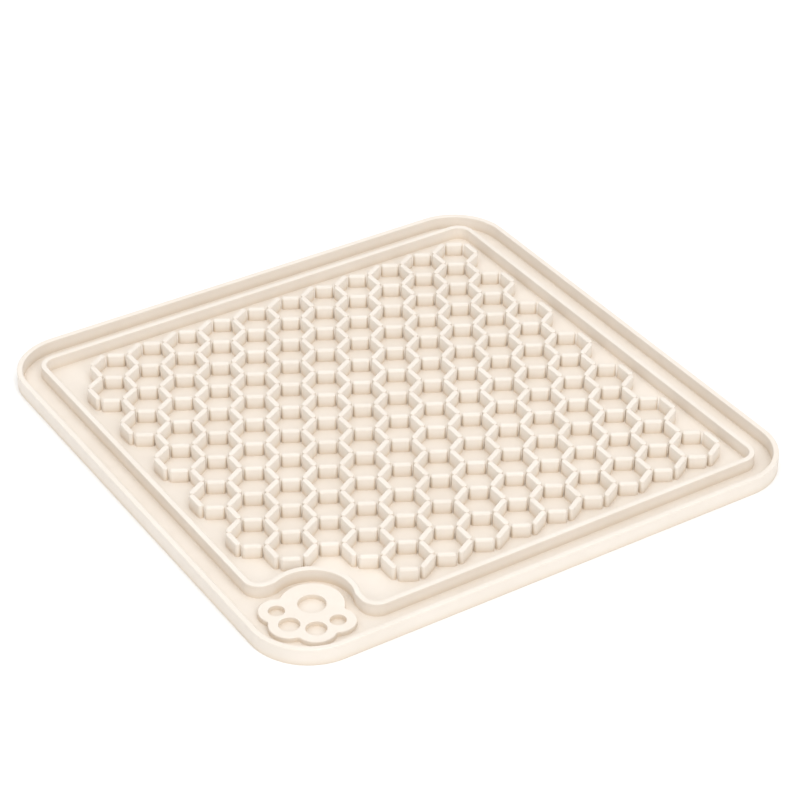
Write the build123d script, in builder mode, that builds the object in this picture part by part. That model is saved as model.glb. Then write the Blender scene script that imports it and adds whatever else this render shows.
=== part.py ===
from build123d import *
import math
import os

# A square lick mat moulded in silicone: a thin sheet with a raised rim, a fence inside it,
# short ribs along the sides of a honeycomb, and a paw badge in one corner.
# Millimetres, +Z up. The origin is the centre of the underside, and the badge is at -X, -Y.

# Sheet and rim
mat_side = 200.0
mat_corner_radius = 21.0
sheet_thickness = 1.1
rim_width = 2.0
rim_height = 6.1
edge_rounding = 0.45

# Fence, parted from the rim by a groove that catches what spills
groove_width = 7.9
fence_width = 2.0
fence_height = 4.9
fence_corner_radius = 4.5
fence_bend_radius = 4.0

# Honeycomb, as many cells as the mat has, in a field set back from the fence
cells_across = 11
cell_rows = 13
field_margin_x = 6.2
field_margin_y = 7.25

# Ribs on the honeycomb's sides, each one apart from its neighbours. Those along Y and those that rise to +X
# nearly touch, as zigzag walls, and those that fall to +X are shorter blocks that stand clear of the walls.
rib_width = 2.1
rib_height = 4.9
rib_gap = 0.1
block_setback = 0.55
rib_edge_rounding = 0.45
rib_draft = 0.5

# Paw badge: a pad and four toes, each with a round recess down to the sheet and land between the recesses
paw_height = 2.0
paw_gap_x = 4.5
paw_gap_y = 5.3
paw_notch_radius = 1.2
pad_recess_radius = 4.5
inner_toe_recess_radius = 3.35
outer_toe_recess_radius = 2.6
pad_land = 4.3
toe_land = 1.85
pad_border = 5.9
toe_border = 3.3
recess_rounding = 0.25

# How far the fence keeps from the badge, round the pad and beside the outer toes
pad_clearance = 2.9
toe_clearance = 3.3

# What the sizes above settle together
rim_inner_side = mat_side - 2 * rim_width
rim_inner_radius = mat_corner_radius - rim_width
fence_outer_side = rim_inner_side - 2 * groove_width
fence_inner_side = fence_outer_side - 2 * fence_width
sheet_top = Plane.XY.offset(sheet_thickness)

os.makedirs("parts", exist_ok=True)


def save(piece, label):
    """Names a finished piece and writes it to its own file."""
    piece.label = label
    export_step(piece, f"parts/{label}.step")
    print(f"{label}: {len(piece.solids())} solids, {piece.volume:.1f} mm3")


def top_edges(builder):
    """Gives the edges round the highest flat face, those of its holes apart."""
    top_face = builder.faces().sort_by(Axis.Z)[-1]
    holes = [edge for wire in top_face.inner_wires() for edge in wire.edges()]
    return top_face.outer_wire().edges(), holes


def rounding(radius, wall):
    """Limits an edge's rounding to what its wall can hold."""
    return min(radius, 0.4 * wall)


# The sheet fills the rim from wall to wall
with BuildPart() as base_sheet:
    with BuildSketch():
        RectangleRounded(rim_inner_side, rim_inner_side, rim_inner_radius)
    extrude(amount=sheet_thickness)
save(base_sheet.part, "base_sheet")


# The rim stands on the table beside the sheet, so the outer wall has no seam
with BuildPart() as outer_rim:
    with BuildSketch():
        RectangleRounded(mat_side, mat_side, mat_corner_radius)
        RectangleRounded(rim_inner_side, rim_inner_side, rim_inner_radius, mode=Mode.SUBTRACT)
    extrude(amount=rim_height)
    outside, inside = top_edges(outer_rim)
    fillet(outside + inside, rounding(edge_rounding, rim_width))
save(outer_rim.part, "outer_rim")


# The paw points at the mat's corner: a pad, and each toe at a reach and a turn from that direction.
# The lands between the recesses settle the reaches, and the turns from toe to toe.
corner_direction = 225
pad_radius = pad_recess_radius + pad_border
inner_toe_reach = pad_recess_radius + pad_land + inner_toe_recess_radius
outer_toe_reach = pad_recess_radius + pad_land + outer_toe_recess_radius
toe_spacing = inner_toe_recess_radius + toe_land + outer_toe_recess_radius
inner_toe_turn = math.asin((inner_toe_recess_radius + toe_land / 2) / inner_toe_reach)
toe_square = inner_toe_reach**2 + outer_toe_reach**2 - toe_spacing**2
outer_toe_turn = inner_toe_turn + math.acos(toe_square / (2 * inner_toe_reach * outer_toe_reach))


def toe(reach, turn, recess_radius):
    """Gives one toe's centre from the pad's, and the radius of its recess."""
    direction = math.radians(corner_direction) + turn
    return reach * math.cos(direction), reach * math.sin(direction), recess_radius


toes_from_pad = [
    toe(outer_toe_reach, -outer_toe_turn, outer_toe_recess_radius),
    toe(inner_toe_reach, -inner_toe_turn, inner_toe_recess_radius),
    toe(inner_toe_reach, inner_toe_turn, inner_toe_recess_radius),
    toe(outer_toe_reach, outer_toe_turn, outer_toe_recess_radius),
]

# The toes keep their gaps from the rim, and the pad follows
rim_face = -rim_inner_side / 2
pad_x = rim_face + paw_gap_x + max(recess_radius + toe_border - x for x, y, recess_radius in toes_from_pad)
pad_y = rim_face + paw_gap_y + max(recess_radius + toe_border - y for x, y, recess_radius in toes_from_pad)
toes = [(pad_x + x, pad_y + y, recess_radius) for x, y, recess_radius in toes_from_pad]

# Growing the joined discs and shrinking them again rounds the notches between the toes
with BuildPart() as paw_badge:
    with BuildSketch(sheet_top):
        with Locations((pad_x, pad_y)):
            Circle(pad_radius)
        for x, y, recess_radius in toes:
            with Locations((x, y)):
                Circle(recess_radius + toe_border)
        offset(amount=paw_notch_radius)
        offset(amount=-paw_notch_radius)
    extrude(amount=paw_height)
    with BuildSketch(sheet_top):
        with Locations((pad_x, pad_y)):
            Circle(pad_recess_radius)
        for x, y, recess_radius in toes:
            with Locations((x, y)):
                Circle(recess_radius)
    extrude(amount=paw_height, mode=Mode.SUBTRACT)
    outline, recesses = top_edges(paw_badge)
    fillet(outline, rounding(edge_rounding, paw_height))
    outline, recesses = top_edges(paw_badge)
    fillet(recesses, rounding(recess_rounding, min(paw_height, toe_land)))
save(paw_badge.part, "paw_badge")


# The fence follows the rim, and goes round the badge on a shoulder, an arc about the pad and a shoulder.
# The paw is even about the corner's direction, so both shoulders are as far from the pad.
shoulder_rise = toes_from_pad[0][1] + outer_toe_recess_radius + toe_border + toe_clearance
shoulder_x = pad_x + shoulder_rise
shoulder_y = pad_y + shoulder_rise
bump_radius = max(pad_radius + pad_clearance, 1.02 * shoulder_rise)

# Corners and bends are measured on the fence's inner face, and two bends have to fit on a shoulder
fence_low = -fence_outer_side / 2
bump_reach = math.sqrt(bump_radius**2 - shoulder_rise**2)
shoulder_run = min(pad_x, pad_y) - bump_reach - fence_low
bump_turn = math.acos(shoulder_rise / bump_radius)
bend_room = 0.98 * shoulder_run / (1 + math.tan(bump_turn / 2)) - fence_width


def fence_area(inset):
    """Draws the area inside the fence's outer face, drawn in by the inset."""
    side = fence_outer_side - 2 * inset
    with BuildSketch() as area:
        RectangleRounded(side, side, fence_corner_radius + fence_width - inset)
        with Locations((pad_x, pad_y)):
            Circle(bump_radius + inset, mode=Mode.SUBTRACT)
        with Locations((fence_low, fence_low)):
            Rectangle(pad_x - fence_low, shoulder_y + inset - fence_low, align=Align.MIN, mode=Mode.SUBTRACT)
            Rectangle(shoulder_x + inset - fence_low, pad_y - fence_low, align=Align.MIN, mode=Mode.SUBTRACT)
        bends = area.vertices().sort_by_distance((pad_x, pad_y, 0))[:4]
        fillet(bends, min(fence_bend_radius, bend_room) + fence_width - inset)
    return area.sketch


fence_outside = fence_area(0)
fence_inside = fence_area(fence_width)

with BuildPart() as inner_fence:
    with BuildSketch(sheet_top):
        add(fence_outside)
        add(fence_inside, mode=Mode.SUBTRACT)
    extrude(amount=fence_height)
    outside, inside = top_edges(inner_fence)
    fillet(outside + inside, rounding(edge_rounding, fence_width))
save(inner_fence.part, "inner_fence")


# The cells fill their field: staggered rows need half a cell more across, and overlap by a quarter
cell_width = (fence_inner_side - 2 * field_margin_x) / (cells_across + 1 / 2)
cell_height = (fence_inner_side - 2 * field_margin_y) / (cell_rows * 3 / 4 + 1 / 4)
cross_side = cell_height / 2
slant_side = math.hypot(cell_width / 2, cell_height / 4)
slant = math.degrees(math.atan2(cell_height / 4, cell_width / 2))

# Three ribs meet at a honeycomb corner. The walls' round ends come as close to each other as the gap.
half_corner = math.radians(min(45 + slant / 2, 90 - slant))
end_setback = (rib_width + rib_gap) / (2 * math.sin(half_corner)) - rib_width / 2
top_end_radius = rib_width / 2 - rib_height * math.tan(math.radians(rib_draft))


def make_rib(length):
    """Makes one drafted rib of the given length along X, with round ends."""
    with BuildPart() as rib:
        with BuildSketch():
            SlotOverall(length, rib_width)
        extrude(amount=rib_height, taper=rib_draft)
        outline, holes = top_edges(rib)
        fillet(outline, min(rib_edge_rounding, 0.45 * top_end_radius))
    return rib.part


cross_turn = 90
ribs = {
    cross_turn: make_rib(cross_side - 2 * end_setback),
    slant: make_rib(slant_side - 2 * end_setback),
    -slant: make_rib(slant_side - 2 * (end_setback + block_setback)),
}

# Each cell has two cross sides and four slanting ones, and cells that would crowd the paw are left out.
# Neighbours share a side. A side is known by its place in quarter widths and eighth heights from the middle,
# and sides at one height make a row along X.
step_x = cell_width / 4
step_y = cell_height / 8
paw_reach = bump_radius + fence_width + cell_height / 2 + rib_width
rows = {}
for row in range(cell_rows):
    stagger = 1 if row % 2 == 0 else -1
    cell_j = 6 * row - 3 * (cell_rows - 1)
    for column in range(cells_across):
        cell_i = 4 * column - 2 * (cells_across - 1) + stagger
        if math.hypot(cell_i * step_x - pad_x, cell_j * step_y - pad_y) < paw_reach:
            continue
        for side in (-1, 1):
            rows.setdefault(cell_j, {})[cell_i + 2 * side] = cross_turn
            for end in (-1, 1):
                rows.setdefault(cell_j + 3 * end, {})[cell_i + side] = -side * end * slant

# The rows are numbered from the front to the back
for number, j in enumerate(sorted(rows), start=1):
    with BuildPart() as rib_row:
        for turn in sorted(set(rows[j].values())):
            columns = [i for i in rows[j] if rows[j][i] == turn]
            places = [Location((i * step_x, j * step_y, sheet_thickness), (0, 0, turn)) for i in columns]
            with Locations(*places):
                add(ribs[turn])
    save(rib_row.part, f"rib_row_{number:02d}")
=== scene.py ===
# %% [markdown]
# # A honeycomb lick mat
# The mat is one square moulding of cream silicone: a thin sheet with a rim, a fence inside the rim, a paw
# in one corner and a honeycomb of short upright ribs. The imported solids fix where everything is. This
# lesson lays a finer surface over each of them, with soft moulded edges, and then gives the silicone its
# look.

import bpy
import numpy as np
from mathutils import Matrix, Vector
from mathutils.geometry import delaunay_2d_cdt


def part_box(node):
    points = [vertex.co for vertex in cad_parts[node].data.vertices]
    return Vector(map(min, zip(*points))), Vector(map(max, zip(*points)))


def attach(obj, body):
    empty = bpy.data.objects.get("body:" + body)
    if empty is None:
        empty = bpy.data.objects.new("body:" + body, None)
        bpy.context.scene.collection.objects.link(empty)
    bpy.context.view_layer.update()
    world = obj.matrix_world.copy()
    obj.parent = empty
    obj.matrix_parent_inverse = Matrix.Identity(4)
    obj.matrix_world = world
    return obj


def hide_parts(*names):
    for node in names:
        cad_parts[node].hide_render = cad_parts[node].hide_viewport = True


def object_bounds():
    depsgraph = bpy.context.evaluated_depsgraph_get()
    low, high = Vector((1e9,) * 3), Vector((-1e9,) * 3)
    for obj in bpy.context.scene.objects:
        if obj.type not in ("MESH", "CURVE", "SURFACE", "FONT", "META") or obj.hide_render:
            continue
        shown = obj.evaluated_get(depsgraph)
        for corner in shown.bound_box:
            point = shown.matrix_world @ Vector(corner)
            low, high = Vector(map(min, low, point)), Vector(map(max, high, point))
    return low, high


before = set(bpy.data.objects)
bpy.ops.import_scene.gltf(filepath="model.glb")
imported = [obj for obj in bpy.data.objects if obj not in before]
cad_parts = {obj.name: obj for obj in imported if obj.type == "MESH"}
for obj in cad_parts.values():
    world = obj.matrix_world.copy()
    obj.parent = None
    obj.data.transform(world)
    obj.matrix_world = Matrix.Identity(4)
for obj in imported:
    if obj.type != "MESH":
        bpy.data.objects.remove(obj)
cad_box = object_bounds()
box_in_mm = [[round(v * 1000, 2) for v in corner] for corner in cad_box]
print("solids:", len(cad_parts), "box in mm:", box_in_mm)

# %% [markdown]
# ## Sizes
# A mould maker works in millimetres, so the shapes are worked out in millimetres and only turned to metres
# when they go into a mesh. What a box around a solid can tell is read from the solids. The rest is what was
# measured for them: radii, widths and the paw's layout.

# %% Read the main sizes
mm = 0.001


def top_of(node):
    """The height of a solid's highest point, in millimetres."""
    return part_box(node)[1][2] / mm


half_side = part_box("outer_rim")[1][0] / mm
half_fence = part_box("inner_fence")[1][0] / mm
sheet_top = top_of("base_sheet")
rim_top = top_of("outer_rim")
fence_top = top_of("inner_fence")
badge_top = top_of("paw_badge")
rib_top = top_of("rib_row_14")
mat_corner = 21.0
wall_width = 2.0
edge_rounding = 0.45
under_rounding = 0.1
foot_flare = 0.17
foot_sink = 0.02
print("half side", round(half_side, 2), "half fence", round(half_fence, 2))
print("tops of rim and ribs", round(rim_top, 2), round(rib_top, 2))

# %% [markdown]
# ## Paths made of arcs
# Every outline on this mat, seen from above or cut through a wall, is a chain of arcs joined by straight
# runs. One could draw curves and bevel them, but then the rounding of each edge is hard to set. A path that
# knows its own outward direction at each point gives exact shading from very few faces, so that is used
# throughout.

# %% Chain arcs into a path


def chain(arcs):
    """Joins arcs to one path, with the outward direction at each point.

    An arc is (centre x, centre y, radius, first angle, last angle, side, points). A point is the centre plus
    the radius turned to an angle, and the angles are evenly spaced. Outward is the same turned direction
    times side, which is -1 where the path bends inwards. Straight runs are what is left between the arcs, and
    where two arcs touch, their common point is kept once.
    """
    places, outward = [], []
    for x, y, radius, first, last, side, count in arcs:
        angle = np.radians(np.linspace(first, last, count))
        ray = np.stack([np.cos(angle), np.sin(angle)], axis=1)
        places.append(np.array([x, y]) + radius * ray)
        outward.append(side * ray)
    places, outward = np.concatenate(places), np.concatenate(outward)
    fresh = np.hypot(*(places - np.roll(places, 1, axis=0)).T) > 1e-6
    return places[fresh], outward[fresh]


def rounded_box(half_x, half_y, radius, count):
    """A rectangle about the origin: four quarter arcs about centres set in from its corners by the radius."""
    x, y = half_x - radius, half_y - radius
    corners = [(x, y, 0), (-x, y, 90), (-x, -y, 180), (x, -y, 270)]
    return chain([(cx, cy, radius, turn, turn + 90, 1, count) for cx, cy, turn in corners])


def sweep(path, profile, wrap):
    """Carries a profile round a closed path.

    A point is the path's point plus its outward direction times the profile's reach, at the profile's height.
    Outward directions combine the same way. Faces join neighbours in the grid of path steps by profile steps,
    and wrap closes the profile on itself.
    """
    (places, outward), (section, facing) = path, profile
    flat = places[:, None, :] + outward[:, None, :] * section[None, :, :1]
    lean = outward[:, None, :] * facing[None, :, :1]
    steps, rings = flat.shape[:2]
    up = np.broadcast_to(section[:, 1], (steps, rings))[..., None]
    rise = np.broadcast_to(facing[:, 1], (steps, rings))[..., None]
    points = np.concatenate([flat, up], axis=2).reshape(-1, 3)
    normals = np.concatenate([lean, rise], axis=2).reshape(-1, 3)
    grid = np.arange(steps * rings).reshape(steps, rings)
    ahead = np.roll(grid, -1, axis=0)
    if wrap:
        above, above_ahead = np.roll(grid, -1, axis=1), np.roll(ahead, -1, axis=1)
        quads = np.stack([grid, ahead, above_ahead, above], axis=2)
    else:
        quads = np.stack([grid[:, :-1], ahead[:, :-1], ahead[:, 1:], grid[:, 1:]], axis=2)
    return points, normals, quads.reshape(-1, 4), grid


print("a rounded box of 4 corners has", len(rounded_box(10, 10, 2, 4)[0]), "points")

# %% [markdown]
# ## Shader helpers
# A finish is easiest to read as a sum: a base colour plus a little of this pattern, less a little of that
# one. Wrapping a node's socket in a small class lets Python's own operators write those sums as nodes.

# %% Write node trees as expressions


class Value:
    """One output socket. Arithmetic on it adds Math nodes to its finish."""

    def __init__(self, finish, socket):
        self.finish, self.socket = finish, socket

    def math(self, operation, first, second):
        """Adds a Math node for two values."""
        return self.finish.node("ShaderNodeMath", {"operation": operation}, {0: first, 1: second})

    def __add__(self, other):
        return self.math("ADD", self, other)

    def __radd__(self, other):
        return self.math("ADD", other, self)

    def __sub__(self, other):
        return self.math("SUBTRACT", self, other)

    def __mul__(self, other):
        return self.math("MULTIPLY", self, other)

    def __rmul__(self, other):
        return self.math("MULTIPLY", other, self)


class Finish:
    """A material whose nodes are added one expression at a time."""

    def __init__(self, name):
        self.material = bpy.data.materials.new(name)
        self.material.use_nodes = True
        self.tree = self.material.node_tree
        self.tree.nodes.clear()

    def node(self, kind, settings, sockets, output=0):
        """Adds a node: settings first, then a value or a link for each socket. Gives back one output."""
        made = self.tree.nodes.new(kind)
        for name, setting in settings.items():
            setattr(made, name, setting)
        for name, value in sockets.items():
            if isinstance(value, Value):
                self.tree.links.new(value.socket, made.inputs[name])
            else:
                made.inputs[name].default_value = value
        return Value(self, made.outputs[output])

    def step(self, value, low, high):
        """Maps a value smoothly to 0 at low and 1 at high."""
        settings = {"interpolation_type": "SMOOTHSTEP"}
        return self.node("ShaderNodeMapRange", settings, {"Value": value, "From Min": low, "From Max": high})

    def mix(self, share, first, second):
        """Mixes two colours."""
        settings = {"data_type": "RGBA"}
        return self.node("ShaderNodeMix", settings, {0: share, 6: first, 7: second}, output=2)

    def end(self, shader):
        """Puts the shader on the surface."""
        surface = self.tree.nodes.new("ShaderNodeOutputMaterial").inputs["Surface"]
        self.tree.links.new(shader.socket, surface)
        return self.material


print("helpers ready")

# %% [markdown]
# ## Cream silicone
# Pigmented silicone is matte and slightly waxy. The mould is blasted with fine grit, which leaves a grain
# well under a millimetre, the pigment clouds a little over a few centimetres, and the tops that hands and
# tongues rub are a touch smoother. Shade is painted into the creases: where the surface is shut in, its
# colour turns darker and warmer, most of all on the upright faces. Light is painted onto the ribs: their
# sides are painted paler towards the top, in place of light coming down through the thin ribs, so they take a
# second mix of the same finish, with a painted glow.

# %% Make the silicone


def make_silicone(name, painted_glow):
    """Cream silicone, with painted shade in its creases. The second argument is how much painted light pales
    the upright faces towards their tops, from 0 to 1.
    """
    finish = Finish(name)
    place = finish.node("ShaderNodeTexCoord", {}, {}, output="Object")
    height = finish.node("ShaderNodeSeparateXYZ", {}, {"Vector": place}, output="Z")
    facing = finish.node("ShaderNodeNewGeometry", {}, {}, output="Normal")
    tilt = finish.node("ShaderNodeSeparateXYZ", {}, {"Vector": facing}, output="Z")
    upright = finish.step(tilt * tilt, 0.5, 0.1)

    def noise(scale, detail, roughness):
        """Noise with so many lumps to the metre, between 0 and 1."""
        sockets = {"Vector": place, "Scale": scale, "Detail": detail, "Roughness": roughness}
        return finish.node("ShaderNodeTexNoise", {"noise_dimensions": "3D"}, sockets)

    grain = noise(3200.0, 2.0, 0.6)
    cloud = noise(45.0, 3.0, 0.55)
    streak = noise(210.0, 2.0, 0.5)
    rubbed = finish.step(height, 0.0054, 0.0061)
    # Painted shade: where ambient occlusion finds a crease, the colour turns darker and warmer, most on
    # upright faces.
    air = finish.node("ShaderNodeAmbientOcclusion", {"samples": 12}, {"Distance": 0.0035}, output="AO")
    crease_shade_share = finish.step(air, 0.95, 0.3) * (0.4 + 0.6 * upright)
    # Painted light: upright faces are painted paler towards their tops.
    lit = painted_glow * (upright * finish.step(height, 0.001, 0.0055))
    tint = finish.step(0.7 * cloud + 0.3 * streak, 0.3, 0.7)
    warm, pale = (0.765, 0.697, 0.62, 1.0), (0.795, 0.732, 0.66, 1.0)
    # The first colour on this line is a painted crease shade, the second a painted glow of light.
    crease_shade, painted_light_colour = (0.69, 0.585, 0.465, 1.0), (0.93, 0.89, 0.83, 1.0)
    cream = finish.mix(lit, finish.mix(crease_shade_share, finish.mix(tint, warm, pale), crease_shade), painted_light_colour)
    matte = 0.62 + 0.1 * (grain - 0.5) + 0.06 * (cloud - 0.5) - 0.06 * rubbed
    skin = finish.node("ShaderNodeBump", {}, {"Strength": 0.25, "Distance": 0.00005, "Height": grain})
    sockets = {"Base Color": cream, "Roughness": matte, "Normal": skin, "IOR": 1.41}
    return finish.end(finish.node("ShaderNodeBsdfPrincipled", {}, sockets))


silicone = make_silicone("cream_silicone", 0.0)
# The ribs' copy of the finish, with painted light on their sides.
silicone_painted_glow = make_silicone("cream_silicone_painted_glow", 0.45)
print("finishes:", silicone.name, len(silicone.node_tree.nodes), silicone_painted_glow.name)

# %% [markdown]
# ## Putting a surface into the scene
# Each surface becomes one mesh at the origin. The outward directions worked out with it become its shading
# normals, so a flat wall stays flat right up to its rounded edge, and each piece takes the place of its
# solid.

# %% Turn arrays into pieces


def put(name, points, normals, faces, node, finish=silicone):
    """Makes a mesh of points in millimetres, and has it stand for the named solid."""
    mesh = bpy.data.meshes.new(name)
    mesh.from_pydata((points * mm).tolist(), [], faces)
    mesh.polygons.foreach_set("use_smooth", np.ones(len(mesh.polygons), dtype=bool))
    mesh.normals_split_custom_set_from_vertices(normals.tolist())
    mesh.materials.append(finish)
    piece = bpy.data.objects.new(name, mesh)
    bpy.context.scene.collection.objects.link(piece)
    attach(piece, "root")
    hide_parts(node)


# %% [markdown]
# ## Sheet
# The floor of the mat is a thin flat sheet. It could be a plain slab, but its edge would then show a line
# against the rim. Here it reaches a little way under the rim, and the rim's own foot flares out over it.

# %% Make the sheet
rim_inside = half_side - wall_width
rim_corner = mat_corner - wall_width
reach = 0.5
sheet_path = rounded_box(rim_inside + reach, rim_inside + reach, rim_corner + reach, 13)
under = (-under_rounding, under_rounding, under_rounding, -90, 0, 1, 3)
sheet_edge = (-under_rounding, sheet_top - under_rounding, under_rounding, 0, 90, 1, 3)
points, normals, quads, grid = sweep(sheet_path, chain([under, sheet_edge]), wrap=False)
caps = [grid[::-1, 0].tolist(), grid[:, -1].tolist()]
put("sheet", points, normals, quads.tolist() + caps, "base_sheet")
print("sheet faces:", len(quads) + 2)

# %% [markdown]
# ## Rim and fence
# Both walls are one profile carried round a path: up the outer side, over a rounded top, down the inner
# side, and out into a small flare where the wall grows from the sheet. The flare is what a moulding has and
# a pile of blocks has not.

# %% Make the rim


def flare(out, side):
    """The hollow arc at a wall's foot: side is 1 for a wall that faces out, -1 for one that faces in."""
    middle = sheet_top - foot_sink + foot_flare
    first, last = (270, 180) if side > 0 else (0, -90)
    return out + side * foot_flare, middle, foot_flare, first, last, -1, 3


def over(top, width, radius):
    """The two rounded edges over a wall's top."""
    middle = top - radius
    return [(-radius, middle, radius, 0, 90, 1, 4), (radius - width, middle, radius, 90, 180, 1, 4)]


rim_path = rounded_box(half_side, half_side, mat_corner, 17)
heel_rounding = 0.01
heel = (-wall_width + heel_rounding, heel_rounding, heel_rounding, 180, 270, 1, 2)
rim_profile = chain([under] + over(rim_top, wall_width, edge_rounding) + [flare(-wall_width, -1), heel])
points, normals, quads, grid = sweep(rim_path, rim_profile, wrap=True)
put("rim", points, normals, quads.tolist(), "outer_rim")
print("rim faces:", len(quads))

# %% [markdown]
# ## Where the paw lies
# The fence goes round the paw, so the paw's layout comes first. Its recesses are kept apart by lands of a
# set width: one between the pad's recess and every toe's, a narrower one from toe to toe. Three recesses
# make a triangle with known sides, and the cosine rule gives the turns.

# %% Lay out the paw
pad_hole, toe_holes = 4.5, np.array([2.6, 3.35, 3.35, 2.6])
pad_land, toe_land = 4.3, 1.85
pad_border, toe_border = 5.9, 3.3
gaps_to_rim = np.array([4.5, 5.3])
corner_direction = np.radians(225)
reaches = pad_hole + pad_land + toe_holes
spacing = toe_holes[0] + toe_land + toe_holes[1]
inner_turn = np.arcsin((toe_holes[1] + toe_land / 2) / reaches[1])
squares = reaches[0]**2 + reaches[1]**2 - spacing**2
outer_turn = inner_turn + np.arccos(squares / (2 * reaches[0] * reaches[1]))
turns = corner_direction + np.array([-outer_turn, -inner_turn, inner_turn, outer_turn])
from_pad = reaches[:, None] * np.stack([np.cos(turns), np.sin(turns)], axis=1)
toe_lobes = toe_holes + toe_border
pad = gaps_to_rim - rim_inside - (from_pad - toe_lobes[:, None]).min(axis=0)
print("pad at", pad.round(2), "toes turned by", np.degrees([inner_turn, outer_turn]).round(1))

# %% [markdown]
# ## Fence
# The fence follows the rim at the width of the spill groove and steps round the paw: a bend, a short
# shoulder, a soft turn, an arc about the middle of the paw's pad, and the same again on the other side.
# Each soft turn is a disc that touches both the shoulder's line and the arc, so its centre lies a known
# distance from each.

# %% Make the fence
bump, bend, corner, toe_clearance = 13.3, 6.0, 6.5, 3.3
shoulder_rise = from_pad[0, 1] + toe_lobes[0] + toe_clearance
turn_run = np.sqrt((bump + bend) ** 2 - (shoulder_rise + bend) ** 2)
left_turn = pad + np.array([-turn_run, shoulder_rise + bend])
front_turn = pad + np.array([shoulder_rise + bend, -turn_run])


def heading(start, end):
    """The angle from one point to another, in degrees."""
    return np.degrees(np.arctan2(end[1] - start[1], end[0] - start[0]))


far = half_fence - corner
into_bump, out_of_bump = heading(left_turn, pad), heading(front_turn, pad)
fence_path = chain([
    (far, -far, corner, -90, 0, 1, 13),
    (far, far, corner, 0, 90, 1, 13),
    (-far, far, corner, 90, 180, 1, 13),
    (bend - half_fence, left_turn[1], bend, 180, 270, 1, 13),
    (*left_turn, bend, 270, into_bump + 360, 1, 7),
    (*pad, bump, into_bump + 180, out_of_bump - 180, -1, 33),
    (*front_turn, bend, out_of_bump, 180, 1, 7),
    (front_turn[0], bend - half_fence, bend, 180, 270, 1, 13),
])
fence_profile = chain([flare(0, 1)] + over(fence_top, wall_width, edge_rounding) + [flare(-wall_width, -1)])
points, normals, quads, grid = sweep(fence_path, fence_profile, wrap=True)
put("fence", points, normals, quads.tolist(), "inner_fence")
print("fence faces:", len(quads), "turns at", into_bump.round(1), out_of_bump.round(1))

# %% [markdown]
# ## Paw badge
# The paw is a pad and four toes run together, with small rounded notches between them and a round recess in
# each. A notch is a little disc that touches two neighbouring lobes, so the outline is again a chain of
# arcs. Its wall and the walls of the recesses are swept like the fence, and a flat top is filled in between
# their upper edges.

# %% Make the paw badge
centres = np.vstack([pad, pad + from_pad])
holes = np.append(pad_hole, toe_holes)
lobes = np.append(pad_hole + pad_border, toe_lobes)
notch, recess_rounding, recess_points = 1.2, 0.25, 48


def touching(a, b):
    """The centre of the notch's disc between lobes a and b, on the right of the way from a to b: it is a
    lobe's radius plus the notch's from each lobe's centre."""
    along = centres[b] - centres[a]
    gap = np.hypot(*along)
    near, away = lobes[a] + notch, lobes[b] + notch
    share = (near**2 - away**2 + gap**2) / (2 * gap)
    aside = np.sqrt(near**2 - share**2)
    along = along / gap
    return centres[a] + share * along + aside * np.array([along[1], -along[0]])


around = [(k, (k + 1) % 5) for k in range(5)]
notches = [touching(a, b) for a, b in around]
paw_arcs = []
for a, b in around:
    start, end = heading(centres[a], notches[a - 1]), heading(centres[a], notches[a])
    paw_arcs.append((*centres[a], lobes[a], start, start + (end - start) % 360, 1, 25))
    start, end = heading(notches[a], centres[a]), heading(notches[a], centres[b])
    paw_arcs.append((*notches[a], notch, start, start - (start - end) % 360, -1, 7))

paw_loops = [(chain(paw_arcs), edge_rounding)]
for middle, hole in zip(centres, holes):
    recess = (*middle, hole, 360, 360 / recess_points, -1, recess_points)
    paw_loops.append((chain([recess]), recess_rounding))
points, normals, faces, rims, feet = [], [], [], [], []
count = 0
for path, radius in paw_loops:
    section = chain([flare(0, 1), (-radius, badge_top - radius, radius, 0, 90, 1, 4)])
    loop_points, loop_normals, quads, grid = sweep(path, section, wrap=False)
    points.append(loop_points)
    normals.append(loop_normals)
    faces += (quads + count).tolist()
    rims.append(grid[:, -1] + count)
    feet.append(grid[:, 0] + count)
    count += len(loop_points)
points, normals = np.concatenate(points), np.concatenate(normals)


def filled(loops):
    """Fills an outline with triangles between it and the loops inside it.

    The filling covers the recesses too, and a triangle there has all its corners on one round loop, so those
    are left out.
    """
    corners = np.concatenate(loops)
    sizes = [len(loop) for loop in loops]
    loop_of = np.repeat(np.arange(len(loops)), sizes)
    starts = np.cumsum([0] + sizes)
    spans = [np.arange(start, end) for start, end in zip(starts, starts[1:])]
    edges = np.concatenate([np.stack([span, np.roll(span, -1)], axis=1) for span in spans])
    made = delaunay_2d_cdt(points[corners, :2].tolist(), edges.tolist(), [], 1, 1e-7)
    source = np.array([first[0] for first in made[3]])
    triangles = source[np.array(made[2])]
    owner = loop_of[triangles]
    in_recess = (owner[:, :1] > 0).ravel() & (owner == owner[:, :1]).all(axis=1)
    return corners[triangles[~in_recess]]


top_faces, foot_faces = filled(rims), filled(feet)
put("badge", points, normals, faces + top_faces.tolist() + foot_faces[:, ::-1].tolist(), "paw_badge")
print("badge faces:", len(faces) + len(top_faces) + len(foot_faces))

# %% [markdown]
# ## Ribs
# The honeycomb is drawn by short ribs that stand apart from each other. The sides of the cells say where
# each rib goes. Neighbours share a side, so places are counted in whole steps and the doubles drop out
# exactly, which they might not do in millimetres. Cells near the paw are left out.

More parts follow.
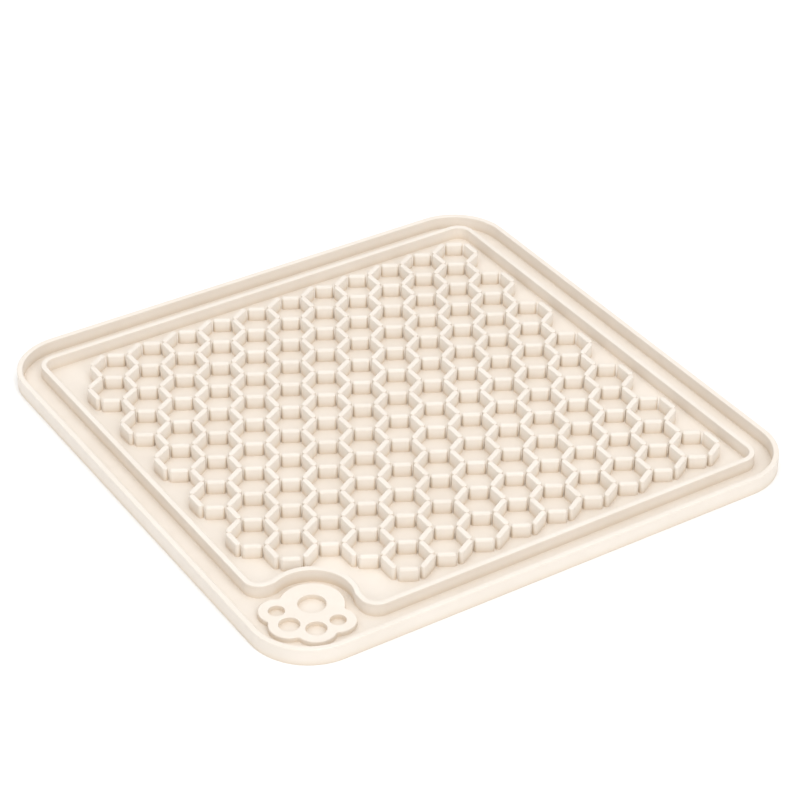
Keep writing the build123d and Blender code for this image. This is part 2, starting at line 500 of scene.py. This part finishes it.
# %% Lay out the honeycomb
cells_across, cell_rows = 11, 13
rib_width, rib_draft, rib_gap, rib_flare = 2.1, 0.5, 0.1, 0.045
wall_rounding, block_rounding, block_setback = 0.45, 0.95, 0.55
fence_inside = half_fence - wall_width
margin_x, margin_y = 6.2, 7.25
cell_width = 2 * (fence_inside - margin_x) / (cells_across + 1 / 2)
cell_height = 2 * (fence_inside - margin_y) / (cell_rows * 3 / 4 + 1 / 4)
step = np.array([cell_width / 4, cell_height / 8])
row, column = np.mgrid[:cell_rows, :cells_across]
across = 4 * column - 2 * (cells_across - 1) + np.where(row % 2 == 0, 1, -1)
along = 6 * row - 3 * (cell_rows - 1)
cells = np.stack([across, along], axis=2).reshape(-1, 2)
clear = bump + wall_width + cell_height / 2 + rib_width
cells = cells[np.hypot(*(cells * step - pad).T) >= clear]
sides = np.array([(-2, 0, 0), (2, 0, 0), (-1, -3, -1), (-1, 3, 1), (1, -3, 1), (1, 3, -1)])
ribs = np.column_stack([cells, np.zeros(len(cells), dtype=int)])[:, None, :] + sides
ribs = np.unique(ribs.reshape(-1, 3), axis=0)
print("cells:", len(cells), "ribs:", len(ribs))

# %% [markdown]
# ### Walls and blocks
# Two of the honeycomb's three directions nearly touch and make zigzag walls. The third is a shorter block
# between them, with a rounder top. There are hundreds of ribs, so one has only a few dozen faces: a
# round-ended plan of fourteen points, a flare, a slightly leaning side and a soft top.

# %% Shape one rib of each kind
slant = np.degrees(np.arctan2(cell_height / 4, cell_width / 2))
half_corner = np.radians(min(45 + slant / 2, 90 - slant))
from_corner = (rib_width + rib_gap) / (2 * np.sin(half_corner))
lean = (rib_top - sheet_top) * np.tan(np.radians(rib_draft))


def rib_shape(side, setback, rounding):
    """One rib along X: two half circles joined by straight runs, carrying a flare, a leaning side and a
    rounded top. The half circles' middles stand back from the honeycomb's corners so that neighbours nearly
    touch, and by the setback more."""
    middle, end = side / 2 - from_corner - setback, rib_width / 2
    path = chain([(middle, 0, end, -90, 90, 1, 7), (-middle, 0, end, 90, 270, 1, 7)])
    foot = (rib_flare, sheet_top - foot_sink + rib_flare, rib_flare, 270, 180 + rib_draft, -1, 2)
    edge = (-lean - rounding, rib_top - rounding, rounding, rib_draft, 90, 1, 4)
    shape_points, shape_normals, quads, grid = sweep(path, chain([foot, edge]), wrap=False)
    caps = [grid[::-1, 0].tolist(), grid[:, -1].tolist()]
    return shape_points, shape_normals, quads.tolist() + caps


slant_side = np.hypot(cell_width / 2, cell_height / 4)
cross_rib = rib_shape(cell_height / 2, 0, wall_rounding)
slant_rib = rib_shape(slant_side, 0, wall_rounding)
block = rib_shape(slant_side, block_setback, block_rounding)
kinds = [(0, 90.0, cross_rib), (1, slant, slant_rib), (-1, -slant, block)]
print("faces in one rib:", len(cross_rib[2]))

# %% [markdown]
# ### Rows
# A rib for each place could be an object of its own, but hundreds of objects are slow to handle. Each row
# of ribs is one mesh instead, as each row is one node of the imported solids.

# %% Set the ribs in their rows


def copies(places, turn, shape):
    """Turns the rib about the upright and moves a copy to each place: a copy's point is the place plus the
    turned point of the rib. The normals turn with it."""
    shape_points, shape_normals, shape_faces = shape
    cos, sin = np.cos(np.radians(turn)), np.sin(np.radians(turn))
    spin = np.array([[cos, sin, 0], [-sin, cos, 0], [0, 0, 1]])
    shift = np.column_stack([places, np.zeros(len(places))])[:, None, :]
    all_points = (shape_points @ spin + shift).reshape(-1, 3)
    all_normals = np.tile(shape_normals @ spin, (len(places), 1))
    firsts = range(0, len(all_points), len(shape_points))
    all_faces = [[first + v for v in face] for first in firsts for face in shape_faces]
    return all_points, all_normals, all_faces


rows = np.unique(ribs[:, 1])
for number, along in enumerate(rows, start=1):
    in_row = ribs[ribs[:, 1] == along]
    points, normals, faces = np.empty((0, 3)), np.empty((0, 3)), []
    for kind, turn, shape in kinds:
        places = in_row[in_row[:, 2] == kind, :2] * step
        more_points, more_normals, more_faces = copies(places, turn, shape)
        faces += [[v + len(points) for v in face] for face in more_faces]
        points, normals = np.vstack([points, more_points]), np.vstack([normals, more_normals])
    # The ribs take the copy of the finish with painted light on their sides.
    put(f"ribs_{number:02d}", points, normals, faces, f"rib_row_{number:02d}", silicone_painted_glow)
print("rib rows:", len(rows))

# %% [markdown]
# ## Floor
# The mat lies on a plain white floor. It is a hair below the mat, so the two never share a plane.

# %% Lay the floor
ground = Finish("pale_floor")
ground.end(ground.node("ShaderNodeBsdfDiffuse", {}, {"Color": (0.92, 0.92, 0.92, 1.0), "Roughness": 0.0}))
spread, drop = 4.0, 0.00002
plane = bpy.data.meshes.new("floor")
plane.from_pydata([(-spread, -spread, -drop), (spread, -spread, -drop), (spread, spread, -drop),
                   (-spread, spread, -drop)], [], [(0, 1, 2, 3)])
plane.materials.append(ground.material)
floor = bpy.data.objects.new("floor", plane)
bpy.context.scene.collection.objects.link(floor)
print("floor is", 2 * spread, "m wide")

# %% [markdown]
# ## Light
# A large soft light hangs overhead and smaller ones stand around, the strongest at the front right. A bright
# even surrounding keeps the shadows faint, as in a product photograph.

# %% Light the set
world = bpy.data.worlds.new("studio")
world.use_nodes = True
world.node_tree.nodes["Background"].inputs["Color"].default_value = (1.0, 1.0, 1.0, 1.0)
world.node_tree.nodes["Background"].inputs["Strength"].default_value = 0.563
bpy.context.scene.world = world
bpy.context.scene.view_settings.view_transform = "Standard"


def outlook(azimuth, elevation):
    """The direction from the mat to a lamp or camera, and the level direction to the right of it."""
    turn, tilt = np.radians([azimuth, elevation])
    back = np.array([np.sin(turn) * np.cos(tilt), -np.cos(turn) * np.cos(tilt), np.sin(tilt)])
    return back, np.array([np.cos(turn), np.sin(turn), 0.0])


def soft_box(name, azimuth, elevation, distance, size, power):
    """A square area light that looks at the mat from a direction given like a camera's."""
    back, across = outlook(azimuth, elevation)
    lamp = bpy.data.lights.new(name, "AREA")
    lamp.size, lamp.energy = size, power
    box = bpy.data.objects.new(name, lamp)
    axes = np.column_stack([across, np.cross(back, across), back, back * distance])
    box.matrix_world = Matrix(np.vstack([axes, [0, 0, 0, 1]]).tolist())
    bpy.context.scene.collection.objects.link(box)


soft_box("overhead", -32.6, 85, 1.6, 1.6, 10.5)
soft_box("right", 0, 35, 1.8, 1.2, 13.4)
soft_box("left", -90, 35, 1.8, 1.2, 6.8)
soft_box("behind", 147, 45, 1.8, 1.2, 4.6)

# %% [markdown]
# ## Camera
# The camera stands where the photographer's did: its direction, distance and lens were worked out from the
# outline of the rim and the lattice of the ribs. A slight roll levels the picture.

# %% Place the camera
back, level = outlook(-32.598, 34.243)
roll = np.radians(0.252)
target, distance = np.array([0.009729, 0.008661, 0.0]), 0.90936
upright = np.cross(back, level)
across = np.cos(roll) * level + np.sin(roll) * upright
upright = np.cos(roll) * upright - np.sin(roll) * level
sensor_mm, focal_pixels, picture_pixels = 36.0, 2622.9, 800
lens = bpy.data.cameras.new("camera")
lens.sensor_width, lens.sensor_fit = sensor_mm, "HORIZONTAL"
lens.lens = sensor_mm * focal_pixels / picture_pixels
camera = bpy.data.objects.new("camera", lens)
axes = np.column_stack([across, upright, back, target + back * distance])
camera.matrix_world = Matrix(np.vstack([axes, [0, 0, 0, 1]]).tolist())
bpy.context.scene.collection.objects.link(camera)
bpy.context.scene.camera = camera
print("lens:", round(lens.lens, 2), "mm")
